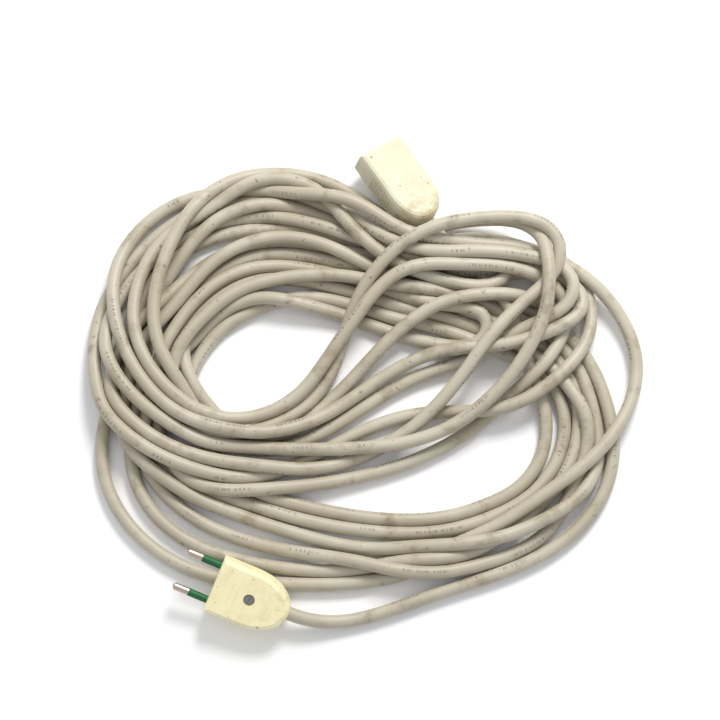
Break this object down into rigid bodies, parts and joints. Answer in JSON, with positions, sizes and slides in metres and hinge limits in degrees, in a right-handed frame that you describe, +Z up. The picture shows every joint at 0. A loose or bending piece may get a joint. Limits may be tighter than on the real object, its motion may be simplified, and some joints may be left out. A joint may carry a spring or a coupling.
{
  "type": "extension cord",
  "caption": "Two-core extension cord in a loose heap, with a cream round-pin plug with green pin sleeves and a cream ribbed line socket",
  "frame": {"origin": "Centre of the line socket's footprint, on the floor it lies on. The cord and plug spread to -X and -Y of it.", "axes": "+Z is up from the floor. +X is to the right and +Y is away from someone looking down at the heap with the plug nearest them."},
  "size_m": [0.292, 0.2636, 0.0247],
  "materials": {
    "plug_shell": "cream moulded thermoplastic, yellowed and rubbed, faint grime streaks",
    "socket_shell": "cream moulded thermoplastic, yellowed, dirt in the ribs",
    "socket_face": "cream moulded insert, matt",
    "clamp_plastic": "cream moulded clamp bar",
    "pin_nickel": "nickel-plated brass pin tips, warm and slightly dull",
    "pin_sleeve": "green insulating sleeves",
    "zinc_screw": "zinc-plated slotted screws, dull grey",
    "terminal_screw": "plated steel terminal screws",
    "brass": "plain brass contacts and threaded inserts",
    "copper": "bare stranded copper ends",
    "core_brown": "brown core insulation",
    "core_blue": "blue core insulation",
    "cord_sheath": "round PVC sheath, grey-beige with brown smudges"
  },
  "bodies": {
    "root": {"plug_base": "plug_shell", "plug_insert": "brass", "plug_pin_left": "pin_nickel", "plug_pin_right": "pin_nickel", "plug_sleeve_left": "pin_sleeve", "plug_sleeve_right": "pin_sleeve", "plug_core_brown": "core_brown", "plug_core_blue": "core_blue", "plug_copper_left": "copper", "plug_copper_right": "copper", "plug_cord_end": "cord_sheath", "socket_base": "socket_shell", "socket_face": "socket_face", "socket_contact_left": "brass", "socket_contact_right": "brass", "socket_core_brown": "core_brown", "socket_core_blue": "core_blue", "socket_copper_left": "copper", "socket_copper_right": "copper", "socket_cord_end": "cord_sheath", "cord_lead": "cord_sheath", "cord_outer_run": "cord_sheath", "cord_inner_run": "cord_sheath", "cord_socket_lead": "cord_sheath", "cord_heap_left": "cord_sheath", "cord_heap_right": "cord_sheath"},
    "plug_cover": {"plug_cover": "plug_shell"},
    "plug_cover_screw": {"plug_cover_screw": "zinc_screw"},
    "plug_clamp": {"plug_clamp_bar": "clamp_plastic"},
    "plug_clamp_screw_left": {"plug_clamp_screw_left": "zinc_screw"},
    "plug_clamp_screw_right": {"plug_clamp_screw_right": "zinc_screw"},
    "plug_terminal_screw_left": {"plug_terminal_screw_left": "terminal_screw"},
    "plug_terminal_screw_right": {"plug_terminal_screw_right": "terminal_screw"},
    "socket_cover": {"socket_cover": "socket_shell", "socket_insert": "brass"},
    "socket_cover_screw": {"socket_cover_screw": "zinc_screw"},
    "socket_clamp": {"socket_clamp_bar": "clamp_plastic"},
    "socket_clamp_screw_left": {"socket_clamp_screw_left": "zinc_screw"},
    "socket_clamp_screw_right": {"socket_clamp_screw_right": "zinc_screw"},
    "socket_terminal_screw_left": {"socket_terminal_screw_left": "terminal_screw"},
    "socket_terminal_screw_right": {"socket_terminal_screw_right": "terminal_screw"}
  },
  "joints": [
    {"name": "plug_cover_screw_turn", "type": "hinge", "parent": "plug_cover", "child": "plug_cover_screw", "pos_m": [-0.07562, -0.22196, 0.01206], "axis": [-0.0168, -0.3085, 0.9511], "range_deg": [0, 2880]},
    {"name": "plug_cover_lift", "type": "slide", "parent": "root", "child": "plug_cover", "axis": [-0.0168, -0.3085, 0.9511], "range_m": [0, 0.0048]},
    {"name": "plug_clamp_screw_left_turn", "type": "hinge", "parent": "plug_clamp", "child": "plug_clamp_screw_left", "pos_m": [-0.06791, -0.23158, 0.00908], "axis": [-0.0168, -0.3085, 0.9511], "range_deg": [0, 320]},
    {"name": "plug_clamp_screw_right_turn", "type": "hinge", "parent": "plug_clamp", "child": "plug_clamp_screw_right", "pos_m": [-0.06304, -0.22055, 0.01274], "axis": [-0.0168, -0.3085, 0.9511], "range_deg": [0, 320]},
    {"name": "plug_clamp_lift", "type": "slide", "parent": "root", "child": "plug_clamp", "axis": [-0.0168, -0.3085, 0.9511], "range_m": [0, 0.0004]},
    {"name": "plug_terminal_screw_left_turn", "type": "hinge", "parent": "root", "child": "plug_terminal_screw_left", "pos_m": [-0.0899, -0.226, 0.0105], "axis": [-0.0168, -0.3085, 0.9511], "range_deg": [0, 1080]},
    {"name": "plug_terminal_screw_right_turn", "type": "hinge", "parent": "root", "child": "plug_terminal_screw_right", "pos_m": [-0.08255, -0.20937, 0.01603], "axis": [-0.0168, -0.3085, 0.9511], "range_deg": [0, 1080]},
    {"name": "socket_cover_screw_turn", "type": "hinge", "parent": "root", "child": "socket_cover_screw", "pos_m": [0.00314, -0.00297, 0.01117], "axis": [-0.2531, -0.1772, -0.9511], "range_deg": [0, 2880]},
    {"name": "socket_cover_lift", "type": "slide", "parent": "root", "child": "socket_cover", "axis": [0.2531, 0.1772, 0.9511], "range_m": [0, 0.0048]},
    {"name": "socket_clamp_screw_left_turn", "type": "hinge", "parent": "socket_clamp", "child": "socket_clamp_screw_left", "pos_m": [0.00626, -0.01787, 0.01312], "axis": [0.2531, 0.1772, 0.9511], "range_deg": [0, 320]},
    {"name": "socket_clamp_screw_right_turn", "type": "hinge", "parent": "socket_clamp", "child": "socket_clamp_screw_right", "pos_m": [0.01607, -0.011, 0.00922], "axis": [0.2531, 0.1772, 0.9511], "range_deg": [0, 320]},
    {"name": "socket_clamp_lift", "type": "slide", "parent": "root", "child": "socket_clamp", "axis": [0.2531, 0.1772, 0.9511], "range_m": [0, 0.0004]},
    {"name": "socket_terminal_screw_left_turn", "type": "hinge", "parent": "root", "child": "socket_terminal_screw_left", "pos_m": [-0.00369, -0.00897, 0.01411], "axis": [0.2531, 0.1772, 0.9511], "range_deg": [0, 1080]},
    {"name": "socket_terminal_screw_right_turn", "type": "hinge", "parent": "root", "child": "socket_terminal_screw_right", "pos_m": [0.01111, 0.00139, 0.00823], "axis": [0.2531, 0.1772, 0.9511], "range_deg": [0, 1080]}
  ]
}
